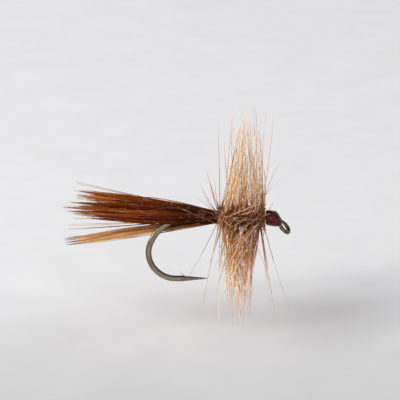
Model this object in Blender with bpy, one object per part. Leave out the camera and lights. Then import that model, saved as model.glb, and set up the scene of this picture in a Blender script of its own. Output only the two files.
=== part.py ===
"""A dry fly on a down-eye hook: a hair wing tied round the shank, a hackle of two wound
feathers over a dubbed thorax, and a varnished thread head.

Metres, +Z up. +X runs along the shank to the eye and -Y is the near side. Everything is
built about the shank's axis and hung on one empty, which lifts that axis to AXIS_HEIGHT,
so that the fly stands at z = 0 on the tips of its hackle. Pieces that press on each other
in life keep a gap of a few hundredths of a millimetre.
"""

import math
import random

import bmesh
import bpy
from mathutils import Vector
from mathutils.geometry import interpolate_bezier

MM = 0.001
SEED = 11
SIDES = 14

HACKLE_RADIUS = 11.35 * MM
AXIS_HEIGHT = HACKLE_RADIUS

# Hook: round shank wire, forged flat through the bend, bent on two arcs
WIRE_RADIUS = 0.28 * MM
FORGED_HALF_WIDTH = 0.21 * MM
FORGED_SPREAD = 0.1
GAPE = 6.52 * MM
BEND_RADIUS = 2.7 * MM
UPPER_BEND_RADIUS = 4.5 * MM
BEND_CENTRE_X = -0.1 * MM
POINT_X = 3.13 * MM
POINT_RADIUS = 0.012 * MM
SPEAR_TAPER_X = 0.5 * MM
SPEAR_RISE = 0.05 * MM
SPEAR_SECTIONS = (0.0, 0.08, 0.24, 0.44, 0.63)  # shares of the way from the point to the bend
FORGING_FADE = 1.6 * MM
BEND_STEPS = (18, 10)  # on the lower and the upper arc
BARB_ROOT = (0.86 * MM, 0.66 * MM)
BARB_TIP = Vector((0.27, 0.0, -5.8)) * MM
BARB_RADII = (0.055 * MM, 0.012 * MM)

# Eye: the wire thins, turns down and loops back to its own neck
NECK_X = 9.5 * MM
NECK_RADIUS = 0.9 * MM
EYE_ANGLE = math.radians(48)
EYE_LOOP_RADIUS = 0.7 * MM
EYE_GAP = 0.2 * MM
EYE_OPENING = (math.radians(58), math.radians(331))  # of the loop, from the neck round to it
EYE_TWIST = math.radians(9)  # the loop's near side is bent down and its far side up
EYE_STEPS = 18
EYE_LEAD_STEPS = 6
EYE_LEAD = (0.2 * MM, 0.2 * MM)  # how far the wire runs straight on out of neck and loop
NECK_WIRE_RADIUS = 0.21 * MM
LOOP_WIRE_RADIUS = 0.195 * MM
LOOP_END_RADIUS = 0.15 * MM

# Thread, wing root, thorax and head, from rear to front along the shank
FIT_GAP = 0.02 * MM
UNDERWRAP_RANGE = (1.75 * MM, 8.9 * MM)
UNDERWRAP_RADIUS = 0.34 * MM
THREAD_PITCH = 0.13 * MM
THREAD_RIDGE = 0.015 * MM
TIE_X = 4.15 * MM
LASHING_FRONT_X = 4.95 * MM
LASHING_THICKNESS = 0.085 * MM
LASHING_CROWN = 0.03 * MM
THORAX_RANGE = (5.08 * MM, 8.88 * MM)
THORAX_RADIUS = 0.82 * MM
THORAX_END_THICKNESS = 0.12 * MM
THORAX_ROUGHNESS = 0.05 * MM
HEAD_BACK_X = 8.96 * MM
HEAD_RADIUS = 0.75 * MM
HEAD_BACK_SHARE = 0.86  # of the full radius, at the back face
HEAD_RISE = 0.18  # share of the head's length over which it swells to its full radius
HEAD_FALL = (0.6, 0.26)  # where the fall to the eye starts, and how much of the radius it takes
VARNISH_THICKNESS = 0.035 * MM

# Wing: tufts of hair set side by side round the shank, each at its root angle
TUFT_ROOT_RADIUS = 0.115 * MM
TUFT_ROOT_RING = UNDERWRAP_RADIUS + THREAD_RIDGE + FIT_GAP + TUFT_ROOT_RADIUS
TUFT_END_RADIUS = 0.29 * MM
TUFT_BODY_SHARE = 0.72
TUFT_POINTS = 9
TUFT_POINT_RADII = (0.075 * MM, 0.012 * MM)
HAIR_RADIUS = 0.016 * MM
HAIR_SAG = 0.12 * MM
HAIR_STEPS = 6

# Hackle: two feathers wound side by side, a barb on each short length of quill
QUILL_RADIUS = 0.07 * MM
QUILL_COIL_RADIUS = 0.95 * MM
QUILL_TURNS = 4
BARBS_PER_FEATHER = 75
BARB_SHARES = (0.03, 0.4, 1.0)
BARB_RADII_OUT = (0.035 * MM, 0.028 * MM, 0.012 * MM)
HACKLE_MIDDLE_X = 6.7 * MM
HACKLE_GATHER = 0.3
BARB_SWEEP = 0.06
STANDING_SLOPE = 0.98  # barbs that point down more steeply than this are full length

AXIS_X = Vector((1, 0, 0))
AXIS_Y = Vector((0, 1, 0))
AXIS_Z = Vector((0, 0, 1))


def clear_scene():
    for old in list(bpy.data.objects):
        bpy.data.objects.remove(old)


def finish(name, colour, roughness, metallic=0.0):
    """A plain Principled material."""
    material = bpy.data.materials.new(name)
    material.use_nodes = True
    shader = material.node_tree.nodes["Principled BSDF"]
    shader.inputs["Base Color"].default_value = (*colour, 1)
    shader.inputs["Roughness"].default_value = roughness
    shader.inputs["Metallic"].default_value = metallic
    return material


def skin(mesh, rings, ring_closed=False):
    """Faces between successive rings of vertices. ring_closed joins the last to the first."""
    last = rings[:1] if ring_closed else []
    for near, far in zip(rings, rings[1:] + last):
        count = len(near)
        for k in range(count):
            after = (k + 1) % count
            mesh.faces.new((near[k], near[after], far[after], far[k]))


def vertex_rings(mesh, rings):
    return [[mesh.verts.new(point) for point in ring] for ring in rings]


def add_object(name, mesh, material, fly):
    """Turns a bmesh into an object that hangs on the fly's empty."""
    bmesh.ops.recalc_face_normals(mesh, faces=mesh.faces[:])
    data = bpy.data.meshes.new(name)
    mesh.to_mesh(data)
    mesh.free()
    data.materials.append(material)
    data.shade_smooth()
    data.set_sharp_from_angle(angle=math.radians(40))
    piece = bpy.data.objects.new(name, data)
    piece.parent = fly
    bpy.context.scene.collection.objects.link(piece)
    return piece


def frames_along(points, side):
    """A (tangent, side, normal) set at each point, carried along the path without twist."""
    frames = []
    for k, point in enumerate(points):
        before = points[max(k - 1, 0)]
        after = points[min(k + 1, len(points) - 1)]
        tangent = (after - before).normalized()
        side = (side - tangent * side.dot(tangent)).normalized()
        frames.append((tangent, side, tangent.cross(side)))
    return frames


def ring_at(centre, across, up, half_across, half_up, sides, limit=None):
    """An elliptical ring, cut flat on both sides where it would pass the limit."""
    ring = []
    for k in range(sides):
        turn = math.tau * (k + 0.5) / sides
        reach = half_across * math.cos(turn)
        if limit is not None:
            reach = max(-limit, min(limit, reach))
        ring.append(centre + across * reach + up * half_up * math.sin(turn))
    return ring


def grow_spike(mesh, face, centres, radii):
    """Replaces a face by a tapering spike through the centres. Its corners keep their order."""
    base = list(face.verts)
    middle = face.calc_center_median()
    spokes = [(corner.co - middle).normalized() for corner in base]
    mesh.faces.remove(face)
    rings = [base]
    for centre, radius in zip(centres, radii):
        rings.append([mesh.verts.new(centre + spoke * radius) for spoke in spokes])
    skin(mesh, rings)
    mesh.faces.new(rings[-1])


def arc_points(centre_x, centre_z, radius, start, end, count):
    """Points in the bend's plane between two angles, measured from +X towards +Z."""
    points = []
    for k in range(count + 1):
        angle = start + (end - start) * k / count
        points.append(
            Vector((centre_x + radius * math.cos(angle), 0, centre_z + radius * math.sin(angle)))
        )
    return points


def bend_join():
    """Where the two arcs of the bend meet: the upper arc's centre and the angle of the joint."""
    drop = GAPE - BEND_RADIUS
    apart = UPPER_BEND_RADIUS - BEND_RADIUS
    upper_centre_x = BEND_CENTRE_X + math.sqrt(apart**2 - (UPPER_BEND_RADIUS - drop) ** 2)
    angle = math.atan2(UPPER_BEND_RADIUS - drop, BEND_CENTRE_X - upper_centre_x)
    return upper_centre_x, angle


def spear_stations():
    """(point, radius) from the needle point back to the start of the bend."""
    length = POINT_X - BEND_CENTRE_X
    stops = [POINT_X - length * share for share in SPEAR_SECTIONS]
    stops += [*BARB_ROOT, SPEAR_TAPER_X, BEND_CENTRE_X + length / 10]
    stations = []
    for x in stops:
        share = min(1.0, (POINT_X - x) / (POINT_X - SPEAR_TAPER_X))
        radius = POINT_RADIUS + (WIRE_RADIUS - POINT_RADIUS) * share**0.8
        rise = SPEAR_RISE * (x - BEND_CENTRE_X) / length
        stations.append((Vector((x, 0, rise - GAPE)), radius))
    return stations


def bend_points():
    upper_centre_x, joint = bend_join()
    low, high = math.radians(270), math.radians(90)
    below, above = BEND_STEPS
    lower = arc_points(BEND_CENTRE_X, BEND_RADIUS - GAPE, BEND_RADIUS, low, joint, below)
    upper = arc_points(
        upper_centre_x, -UPPER_BEND_RADIUS, UPPER_BEND_RADIUS, joint, high, above
    )
    return lower + upper[1:]


def neck_points():
    return arc_points(
        NECK_X, -NECK_RADIUS, NECK_RADIUS, math.radians(90), math.radians(90) - EYE_ANGLE, 6
    )


def eye_direction():
    """Down and forward, from the neck through the middle of the eye."""
    return Vector((math.cos(EYE_ANGLE), 0, -math.sin(EYE_ANGLE)))


def eye_centre():
    return neck_points()[-1] + eye_direction() * (EYE_GAP + EYE_LOOP_RADIUS)


def eye_loop_points():
    """The loop, from where it leaves the neck on the near side back to the neck's far side."""
    along = eye_direction()
    far_side = AXIS_Y * math.cos(EYE_TWIST) + along.cross(AXIS_Y) * math.sin(EYE_TWIST)
    neck = neck_points()[-1]
    start, end = EYE_OPENING
    loop = []
    for k in range(EYE_STEPS + 1):
        turn = start + (end - start) * k / EYE_STEPS
        spoke = -along * math.cos(turn) - far_side * math.sin(turn)
        loop.append(eye_centre() + spoke * EYE_LOOP_RADIUS)
    neck_lead, loop_lead = EYE_LEAD
    into_loop = along * math.sin(start) - far_side * math.cos(start)
    lead = interpolate_bezier(
        neck, neck + along * neck_lead, loop[0] - into_loop * loop_lead, loop[0], EYE_LEAD_STEPS
    )
    return [Vector(point) for point in lead[1:-1]] + loop


def hook_stations():
    """(point, radius, half width limit) along the whole wire, from its point to its eye."""
    upper_centre_x, _ = bend_join()
    stations = [(*station, FORGED_HALF_WIDTH) for station in spear_stations()]
    for point in bend_points():
        # The forging fades out over the top of the bend
        fade = max(0.0, min(1.0, (point.x - upper_centre_x) / FORGING_FADE + 1.0))
        limit = FORGED_HALF_WIDTH
        if point.z > -BEND_RADIUS / 4:
            limit += (WIRE_RADIUS - FORGED_HALF_WIDTH) * fade
        stations.append((point, WIRE_RADIUS, limit))
    for k in range(1, 5):
        x = upper_centre_x + (NECK_X - upper_centre_x) * k / 5
        stations.append((Vector((x, 0, 0)), WIRE_RADIUS, WIRE_RADIUS))
    neck = neck_points()
    for k, point in enumerate(neck):
        radius = WIRE_RADIUS + (NECK_WIRE_RADIUS - WIRE_RADIUS) * k / (len(neck) - 1)
        stations.append((point, radius, radius))
    loop = eye_loop_points()
    for k, point in enumerate(loop):
        share = k / (len(loop) - 1)
        # The wire thins over the first quarter of the loop and again over the last
        radius = NECK_WIRE_RADIUS + (LOOP_WIRE_RADIUS - NECK_WIRE_RADIUS) * min(1, 4 * share)
        radius += (LOOP_END_RADIUS - LOOP_WIRE_RADIUS) * max(0.0, 4 * share - 3)
        stations.append((point, radius, radius))
    return stations


def make_hook(fly, material):
    stations = hook_stations()
    points = [point for point, _, _ in stations]
    frames = frames_along(points, AXIS_Y)
    rings = []
    for (point, radius, limit), (_, side, normal) in zip(stations, frames):
        flattened = max(0.0, radius - limit) / (WIRE_RADIUS - FORGED_HALF_WIDTH)
        height = radius * (1 + FORGED_SPREAD * flattened)
        rings.append(ring_at(point, side, normal, radius, height, SIDES, limit))
    mesh = bmesh.new()
    loops = vertex_rings(mesh, rings)
    skin(mesh, loops)
    mesh.faces.new(loops[0])
    mesh.faces.new(loops[-1])
    grow_hook_barb(mesh)
    return add_object("hook", mesh, material, fly)


def grow_hook_barb(mesh):
    """Raises a sliver from the top of the spear, leaning back towards the bend."""
    mesh.faces.ensure_lookup_table()
    root = Vector((sum(BARB_ROOT) / 2, 0, -GAPE + WIRE_RADIUS))
    top = min(mesh.faces, key=lambda face: (face.calc_center_median() - root).length)
    start = top.calc_center_median()
    grow_spike(mesh, top, [start.lerp(BARB_TIP, 0.35), BARB_TIP], BARB_RADII)


def make_sleeve(name, stations, material, fly):
    """A tube from (centre, inner radius, outer radius, ridge) stations, open at both ends.

    The ridge is how far a thread's crown stands out. Crowns run as a helix of THREAD_PITCH.
    """
    centres = [station[0] for station in stations]
    frames = frames_along(centres, AXIS_Y)
    travelled = 0.0
    outer, inner = [], []
    for k, ((centre, bore, radius, ridge), (_, side, normal)) in enumerate(zip(stations, frames)):
        if k:
            travelled += (centre - centres[k - 1]).length
        ring = []
        for j in range(SIDES):
            turn = math.tau * (j + 0.5) / SIDES
            phase = travelled / THREAD_PITCH - turn / math.tau
            crown = radius + ridge * math.cos(math.tau * phase)
            ring.append(centre + (side * math.cos(turn) + normal * math.sin(turn)) * crown)
        outer.append(ring)
        inner.append(ring_at(centre, side, normal, bore, bore, SIDES))
    mesh = bmesh.new()
    # The bore is plain, so it needs few rings
    few = inner[:: max(1, len(inner) // 6)]
    if few[-1] is not inner[-1]:
        few.append(inner[-1])
    skin(mesh, vertex_rings(mesh, outer + few[::-1]), ring_closed=True)
    return add_object(name, mesh, material, fly)


def straight_stations(x_range, bore, outer_at, ridge, step):
    """Sleeve stations along the shank. outer_at gives the outer radius for a share of the way."""
    start, end = x_range
    count = max(2, round((end - start) / step))
    stations = []
    for k in range(count + 1):
        share = k / count
        centre = Vector((start + (end - start) * share, 0, 0))
        stations.append((centre, bore, outer_at(share), ridge))
    return stations


def make_underwrap(fly, material):
    stations = straight_stations(
        UNDERWRAP_RANGE,
        WIRE_RADIUS + FIT_GAP,
        lambda share: UNDERWRAP_RADIUS,
        THREAD_RIDGE / 2,
        THREAD_PITCH * 2.4,
    )
    return make_sleeve("thread_underwrap", stations, material, fly)


def make_lashing(fly, material):
    bore = TUFT_ROOT_RING + TUFT_ROOT_RADIUS + FIT_GAP
    outer = bore + LASHING_THICKNESS

    def outer_at(share):
        return outer - LASHING_CROWN * (2 * share - 1) ** 2

    stations = straight_stations(
        (TIE_X, LASHING_FRONT_X), bore, outer_at, THREAD_RIDGE, THREAD_PITCH / 3
    )
    return make_sleeve("wing_lashing_thread", stations, material, fly)


def make_thorax(fly, material):
    """Rough dubbing round the shank, thinning to both ends, lumpy as twisted fur is."""
    rng = random.Random(SEED)
    bore = UNDERWRAP_RADIUS + THREAD_RIDGE + FIT_GAP

    def outer_at(share):
        end_radius = bore + THORAX_END_THICKNESS
        fullness = (4 * share * (1 - share)) ** 0.35
        return end_radius + (THORAX_RADIUS - end_radius) * fullness

    stations = straight_stations(THORAX_RANGE, bore, outer_at, 0.0, 0.28 * MM)
    piece = make_sleeve("dubbed_thorax", stations, material, fly)
    for vertex in piece.data.vertices:
        spoke = Vector((0, vertex.co.y, vertex.co.z))
        if spoke.length > bore * 1.1:
            vertex.co -= spoke.normalized() * rng.uniform(0.0, THORAX_ROUGHNESS)
    return piece


def head_path():
    """Centres from the back of the head to the neck's end, close enough for the thread's crowns."""
    step = THREAD_PITCH / 3
    count = round((NECK_X - HEAD_BACK_X) / step)
    straight = [
        Vector((HEAD_BACK_X + (NECK_X - HEAD_BACK_X) * k / count, 0, 0)) for k in range(count)
    ]
    turn_count = round(NECK_RADIUS * EYE_ANGLE / step)
    quarter = math.radians(90)
    curved = arc_points(
        NECK_X, -NECK_RADIUS, NECK_RADIUS, quarter, quarter - EYE_ANGLE, turn_count
    )
    return straight + curved[:-2]


def head_profile(share):
    """Outer radius of the bare head: a quick rise behind, a long fall to the eye."""
    fall_start, fall_depth = HEAD_FALL
    rise = math.sin(min(1.0, share / HEAD_RISE) * math.pi / 2)
    fall = max(0.0, (share - fall_start) / (1 - fall_start))
    swell = HEAD_BACK_SHARE + (1 - HEAD_BACK_SHARE) * rise
    return HEAD_RADIUS * swell * (1 - fall_depth * fall**1.6)


def make_head(fly, thread, varnish):
    path = head_path()
    bare, coat = [], []
    for k, centre in enumerate(path):
        share = k / (len(path) - 1)
        bore = WIRE_RADIUS + FIT_GAP
        radius = head_profile(share)
        bare.append((centre, bore, radius, THREAD_RIDGE))
        shell = radius + THREAD_RIDGE + FIT_GAP / 2
        coat.append((centre, shell, shell + VARNISH_THICKNESS, 0.0))
    make_sleeve("head_thread", bare, thread, fly)
    return make_sleeve("head_varnish", coat[1:-1:3], varnish, fly)


def make_tuft(name, root_angle, tip, seed, material, fly):
    """Hair bound at its root beside the shank, flaring back and ending in separate points."""
    rng = random.Random(seed)
    angle = math.radians(root_angle)
    root = Vector((0, math.cos(angle), math.sin(angle))) * TUFT_ROOT_RING
    bound = Vector((TIE_X - 0.05 * MM, 0, 0)) + root
    front = Vector((LASHING_FRONT_X + 0.03 * MM, 0, 0)) + root
    tip = Vector(tip) * MM
    body_end = bound.lerp(tip, TUFT_BODY_SHARE)
    centres = [front, bound, *(bound.lerp(body_end, k / 4) for k in range(1, 5))]
    radii = [TUFT_ROOT_RADIUS] * 2
    radii += [
        TUFT_ROOT_RADIUS + (TUFT_END_RADIUS - TUFT_ROOT_RADIUS) * k / 4 for k in range(1, 5)
    ]
    rings = []
    for centre, radius, (_, side, normal) in zip(centres, radii, frames_along(centres, AXIS_Y)):
        rings.append(ring_at(centre, side, normal, radius, radius, TUFT_POINTS))
    mesh = bmesh.new()
    loops = vertex_rings(mesh, rings)
    skin(mesh, loops)
    mesh.faces.new(loops[0][::-1])
    middle = mesh.verts.new(body_end)
    end = loops[-1]
    fan = [mesh.faces.new((end[k - 1], end[k], middle)) for k in range(TUFT_POINTS)]
    along = (tip - bound).normalized()
    for face in fan:
        start = face.calc_center_median()
        splay = (start - body_end) * rng.uniform(1.2, 2.2)
        reach = (tip - body_end).length * rng.uniform(0.78, 1.0)
        point = body_end + along * reach + splay
        grow_spike(mesh, face, [start.lerp(point, 0.45), point], TUFT_POINT_RADII)
    return add_object(name, mesh, material, fly)


def make_hair(name, root_angle, tip, material, fly):
    """One loose hair, bound over the tufts and standing clear of them."""
    angle = math.radians(root_angle)
    ring = TUFT_ROOT_RING + TUFT_ROOT_RADIUS - HAIR_RADIUS
    root = Vector((TIE_X, ring * math.cos(angle), ring * math.sin(angle)))
    tip = Vector(tip) * MM
    centres = []
    for k in range(HAIR_STEPS + 1):
        share = k / HAIR_STEPS
        centres.append(root.lerp(tip, share) - AXIS_Z * HAIR_SAG * math.sin(math.pi * share))
    rings = []
    for k, (_, side, normal) in enumerate(frames_along(centres, AXIS_Y)):
        radius = HAIR_RADIUS * (1 - 0.6 * k / HAIR_STEPS)
        rings.append(ring_at(centres[k], side, normal, radius, radius, 4))
    mesh = bmesh.new()
    loops = vertex_rings(mesh, rings)
    skin(mesh, loops)
    mesh.faces.new(loops[0])
    mesh.faces.new(loops[-1])
    return add_object(name, mesh, material, fly)


# Tufts by root angle, from the far side (0) over the top (90) to the near side (180):
# each with its tip as (x, y, z) in millimetres from the middle of the shank's axis.
BROWN_TUFTS = {
    "wing_tuft_far": (0, (-11.2, 2.4, 0.1)),
    "wing_tuft_far_upper": (30, (-10.3, 2.1, 1.3)),
    "wing_tuft_far_top": (60, (-10.0, 1.3, 2.1)),
    "wing_tuft_top": (90, (-10.2, 0.2, 2.45)),
    "wing_tuft_near_top": (120, (-10.1, -1.0, 2.4)),
    "wing_tuft_near_upper": (150, (-10.5, -1.9, 2.0)),
    "wing_tuft_near": (180, (-11.4, -2.3, 1.4)),
    "wing_tuft_near_lower": (210, (-10.9, -1.75, 0.9)),
    "wing_tuft_near_inner": (240, (-10.4, -1.05, 0.5)),
}
TAN_TUFTS = {
    "wing_tuft_under": (270, (-10.8, 1.25, -3.3)),
    "wing_tuft_far_under": (300, (-10.6, 2.0, -3.35)),
    "wing_tuft_far_lower": (330, (-11.0, 2.75, -3.25)),
}
LOOSE_HAIRS = {
    "wing_hair_top": (75, (-9.9, 0.7, 3.4)),
    "wing_hair_far_1": (-12, (-10.5, 2.6, -1.1)),
    "wing_hair_far_2": (-15, (-11.0, 2.5, -1.7)),
    "wing_hair_far_3": (-18, (-11.0, 2.3, -2.1)),
}


def make_wing(fly, brown, tan):
    seed = SEED
    for tufts, material in ((BROWN_TUFTS, brown), (TAN_TUFTS, tan)):
        for name, (root_angle, tip) in tufts.items():
            seed += 1
            make_tuft(name, root_angle, tip, seed, material, fly)
    for name, (root_angle, tip) in LOOSE_HAIRS.items():
        make_hair(name, root_angle, tip, tan, fly)


def make_feather(name, x_range, first_turn, seed, material, fly):
    """A hackle feather: a thin quill wound round the thorax, with a barb on each length of it."""
    rng = random.Random(seed)
    start, end = x_range
    count = BARBS_PER_FEATHER
    sides = 6
    centres, spokes = [], []
    for k in range(count + 1):
        turn = first_turn + math.tau * QUILL_TURNS * k / count
        spoke = Vector((0, math.sin(turn), math.cos(turn)))
        spokes.append(spoke)
        centres.append(AXIS_X * (start + (end - start) * k / count) + spoke * QUILL_COIL_RADIUS)
    rings = []
    for k, centre in enumerate(centres):
        tangent = (centres[min(k + 1, count)] - centres[max(k - 1, 0)]).normalized()
        across = tangent.cross(spokes[k]).normalized()
        thickness = QUILL_RADIUS * (1 - 0.35 * k / count)
        rings.append(ring_at(centre, spokes[k], across, thickness, thickness, sides))
    mesh = bmesh.new()
    loops = vertex_rings(mesh, rings)
    outward = []
    for near, far in zip(loops, loops[1:]):
        quads = []
        for j in range(sides):
            after = (j + 1) % sides
            quads.append(mesh.faces.new((near[j], near[after], far[after], far[j])))
        outward.append(quads[sides - 1])
    mesh.faces.new(loops[0][::-1])
    mesh.faces.new(loops[-1])
    mesh.normal_update()
    for k, face in enumerate(outward):
        grow_barb(mesh, face, spokes[k].lerp(spokes[k + 1], 0.5).normalized(), rng)
    return add_object(name, mesh, material, fly)


def grow_barb(mesh, face, spoke, rng):
    """One barb, standing straight out, gathered a little towards the middle of the hackle."""
    root = face.calc_center_median()
    reach = HACKLE_RADIUS * rng.uniform(0.86, 1.0)
    if spoke.z < -STANDING_SLOPE:
        reach = HACKLE_RADIUS
    swept = AXIS_X.cross(spoke)
    lean = (HACKLE_MIDDLE_X - root.x) * HACKLE_GATHER + rng.uniform(-0.12, 0.12) * MM
    centres = []
    for share in BARB_SHARES:
        out = QUILL_COIL_RADIUS + (reach - QUILL_COIL_RADIUS) * share
        direction = (spoke + swept * BARB_SWEEP * share).normalized()
        centres.append(AXIS_X * (root.x + lean * share) + direction * out)
    grow_spike(mesh, face, centres, BARB_RADII_OUT)


def main():
    clear_scene()
    fly = bpy.data.objects.new("fly", None)
    fly.location.z = AXIS_HEIGHT
    bpy.context.scene.collection.objects.link(fly)

    bronzed_steel = finish("bronzed_steel", (0.24, 0.21, 0.16), 0.28, 1.0)
    claret_thread = finish("claret_thread", (0.10, 0.008, 0.012), 0.5)
    clear_varnish = finish("clear_varnish", (0.20, 0.01, 0.02), 0.08)
    brown_dubbing = finish("brown_dubbing", (0.12, 0.06, 0.03), 0.95)
    brown_hair = finish("brown_hair", (0.20, 0.06, 0.02), 0.45)
    tan_hair = finish("tan_hair", (0.50, 0.26, 0.10), 0.5)
    ginger_hackle = finish("ginger_hackle", (0.62, 0.38, 0.18), 0.4)
    cream_hackle = finish("cream_hackle", (0.75, 0.55, 0.33), 0.4)

    make_hook(fly, bronzed_steel)
    make_underwrap(fly, claret_thread)
    make_lashing(fly, claret_thread)
    make_wing(fly, brown_hair, tan_hair)
    make_thorax(fly, brown_dubbing)
    make_feather("hackle_feather_rear", (4.45 * MM, 6.5 * MM), 0.6, SEED + 1, ginger_hackle, fly)
    make_feather("hackle_feather_front", (6.75 * MM, 8.78 * MM), 2.1, SEED + 2, cream_hackle, fly)
    make_head(fly, claret_thread, clear_varnish)


main()
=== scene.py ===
import math
from collections import namedtuple

import bmesh
import bpy
import numpy as np
from mathutils import Matrix, Vector
from mathutils.bvhtree import BVHTree


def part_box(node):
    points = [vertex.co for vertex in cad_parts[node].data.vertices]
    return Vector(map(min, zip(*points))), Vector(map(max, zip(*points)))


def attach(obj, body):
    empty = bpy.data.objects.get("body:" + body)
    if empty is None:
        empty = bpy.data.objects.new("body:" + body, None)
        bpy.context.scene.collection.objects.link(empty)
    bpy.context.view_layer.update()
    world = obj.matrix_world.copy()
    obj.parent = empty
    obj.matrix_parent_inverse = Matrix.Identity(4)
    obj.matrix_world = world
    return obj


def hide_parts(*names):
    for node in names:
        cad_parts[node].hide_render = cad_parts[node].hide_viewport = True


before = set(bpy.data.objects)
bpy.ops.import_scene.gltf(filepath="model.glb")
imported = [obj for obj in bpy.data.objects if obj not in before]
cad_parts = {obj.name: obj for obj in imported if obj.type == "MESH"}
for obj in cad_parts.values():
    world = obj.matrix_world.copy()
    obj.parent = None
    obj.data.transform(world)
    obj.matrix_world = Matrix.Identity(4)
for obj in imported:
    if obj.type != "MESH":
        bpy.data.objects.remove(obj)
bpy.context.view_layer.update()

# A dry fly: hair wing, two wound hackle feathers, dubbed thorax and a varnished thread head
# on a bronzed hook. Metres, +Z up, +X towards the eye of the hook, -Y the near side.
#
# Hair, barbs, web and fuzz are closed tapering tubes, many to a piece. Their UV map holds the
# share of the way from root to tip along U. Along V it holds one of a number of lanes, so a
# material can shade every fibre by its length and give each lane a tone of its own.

MM = 0.001
TAU = math.tau

# Paths are (fibres, points, 3), radii (fibres, points) and lanes (fibres). top_share is the
# share of a full fibre's length that the bundle's fibres are coloured as.
Bundle = namedtuple("Bundle", "paths radii lanes top_share")
HairKind = namedtuple("HairKind", "count wisps spread lengths inner_share heart pull")
Feather = namedtuple("Feather", "node slot quill web first_turn seed has_strays")
Winding = namedtuple("Winding", "start end_share pitch sink phase")

# Fibres
FIBRE_MAP = "OFBake"
LANES = 64
LANE_FILL = 0.7  # of a lane's height that a fibre's faces take up
CAP_FILL = 0.3  # of a lane's height, each way, that the cap on a fibre's end takes up
CAP_INSET = 0.01  # of a fibre's length
SHARED_LANE = 0.65  # share of a clump's or a wisp's fibres that have its own lane

# Along the shank, as in the CAD
AXIS_HEIGHT = 11.35 * MM
TIE_X = 4.15 * MM
LASHING_FRONT_X = 4.95 * MM

# Finer copies of CAD nodes
WELD_DISTANCE = 0.0001 * MM
JOIN_ANGLE = 0.6  # radians between two triangles that become one quad
JOIN_SHAPE_ANGLE = 1.5
SMOOTH_LEVELS = 2

# Wing hair. Lengths are the shortest and longest, as shares of the CAD tuft's. An inner
# share of the hairs is pulled some of the way to the heart, which is the middle of the hair's
# tips, beside and above the shank's axis.
BROWN_HAIR = HairKind(
    count=72,
    wisps=4,
    spread=0.42 * MM,
    lengths=(0.66, 1.0),
    inner_share=0.22,
    heart=(0.0, 1.0 * MM),
    pull=(0.15, 0.8),
)
TAN_HAIR = HairKind(
    count=30,
    wisps=1,
    spread=0.2 * MM,
    lengths=(0.72, 1.05),
    inner_share=1.0,
    heart=(2.0 * MM, -3.4 * MM),
    pull=(0.1, 0.8),
)
WING_SEED = 21
TAN_TUFTS = ("wing_tuft_under", "wing_tuft_far_under", "wing_tuft_far_lower")
TUFT_WAIST = 0.12 * MM  # length each way of the binding that a tuft's waist is measured in
TUFT_TIP_DEPTH = 1.6 * MM
TUFT_ROOT_SPREAD = 0.16 * MM
TUFT_ROOT_SHARE = 0.6  # of a thin tuft's own spread, where that is less
HAIR_STEPS = 11
HAIR_SIDES = 5
HAIR_TAPER = (
    (0, 0.026 * MM),
    (0.08, 0.026 * MM),
    (0.4, 0.043 * MM),
    (0.8, 0.0344 * MM),
    (1, 0.008 * MM),
)
HAIR_SIZES = (0.7, 1.2)
HAIR_BOW = 0.07 * MM
HAIR_CLOSING = ((0, 0), (0.5, 0.12), (1, 1))  # how a hair goes towards its wisp's point
HAIR_DRAWING = ((0, 0), (0.55, 0.35), (1, 1))  # and an inner one towards the tuft's heart
WISP_PLACES = (0.35, 0.9)  # how far off the tuft's middle a wisp may lie
WISP_SPLAY = 1.25  # how much further off it its point is
WISP_STAGGER = 0.6  # share of the range of lengths that the wisps' own lengths take up
WISP_POINT = 0.08  # width of a wisp at the tips of its longest hairs
WISP_FLARE = 0.5  # how much wider it is at the tips of its shortest ones
HAIR_LAG = 0.5  # how much shorter a hair may be than its wisp
HAIR_LAG_SHAPE = (1.0, 2.0)  # beta distribution: most are only a little shorter
STRAY_HAIR_SHARE = 0.08
STRAY_HAIR_LAG = 0.7
STRAY_HAIR_WIDTH = 1.3
STRAY_HAIR_BOW = 2.5  # times the bow of the others

# Loose hairs
LOOSE_HAIR_SEED = 5
LOOSE_HAIRS_PER_NODE = 2
LOOSE_HAIR_END = 0.1 * MM  # length of the CAD hair that its ends are measured in
LOOSE_HAIR_SPREAD = 0.12 * MM
LOOSE_HAIR_SAG = 0.12 * MM
LOOSE_HAIR_TAPER = ((0, 0.034 * MM), (0.6, 0.03 * MM), (1, 0.012 * MM))

# Hackle
FEATHERS = (
    Feather(
        node="hackle_feather_rear",
        slot="ginger_hackle",
        quill=(4.45 * MM, 6.5 * MM),
        web=(TIE_X, 6.5 * MM),
        first_turn=0.6,
        seed=31,
        has_strays=True,
    ),
    Feather(
        node="hackle_feather_front",
        slot="cream_hackle",
        quill=(6.75 * MM, 8.78 * MM),
        web=(6.75 * MM, 9.0 * MM),
        first_turn=2.1,
        seed=32,
        has_strays=False,
    ),
)
FEATHER_SIDES = 5
COIL_RADIUS = 0.95 * MM
QUILL_TURNS = 4
QUILL_STEPS_PER_TURN = 40
QUILL_RADIUS = 0.065 * MM
QUILL_END = 0.6  # of its radius, at the last turn
QUILL_LANE = 3
HACKLE_RADIUS = 11.3 * MM
BARBS_PER_FEATHER = 195
BARB_STEPS = 9
BARB_TAPER = ((0, 0.045 * MM), (0.45, 0.039 * MM), (0.85, 0.02145 * MM), (1, 0.006 * MM))
BARB_SIZES = (0.65, 1.15)
BARB_ROOT = 0.92  # of the coil's radius
BARB_SHORTENING = 0.48  # of the hackle's radius, for the shortest barbs
BARB_SHORTENING_SHAPE = (1.1, 1.2)  # beta distribution: nearly even
BARB_BOW = 0.2 * MM
BARB_SCATTER = 0.22 * MM
BARB_TURN_SCATTER = 0.03
CLUMPS_PER_TURN = 14.6  # not whole, so that the clumps of one turn stand between the next one's
CLUMP_TURN = 0.05  # radians that a clump leans round, and by how much this varies
CLUMP_TURN_SCATTER = 0.03
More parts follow.
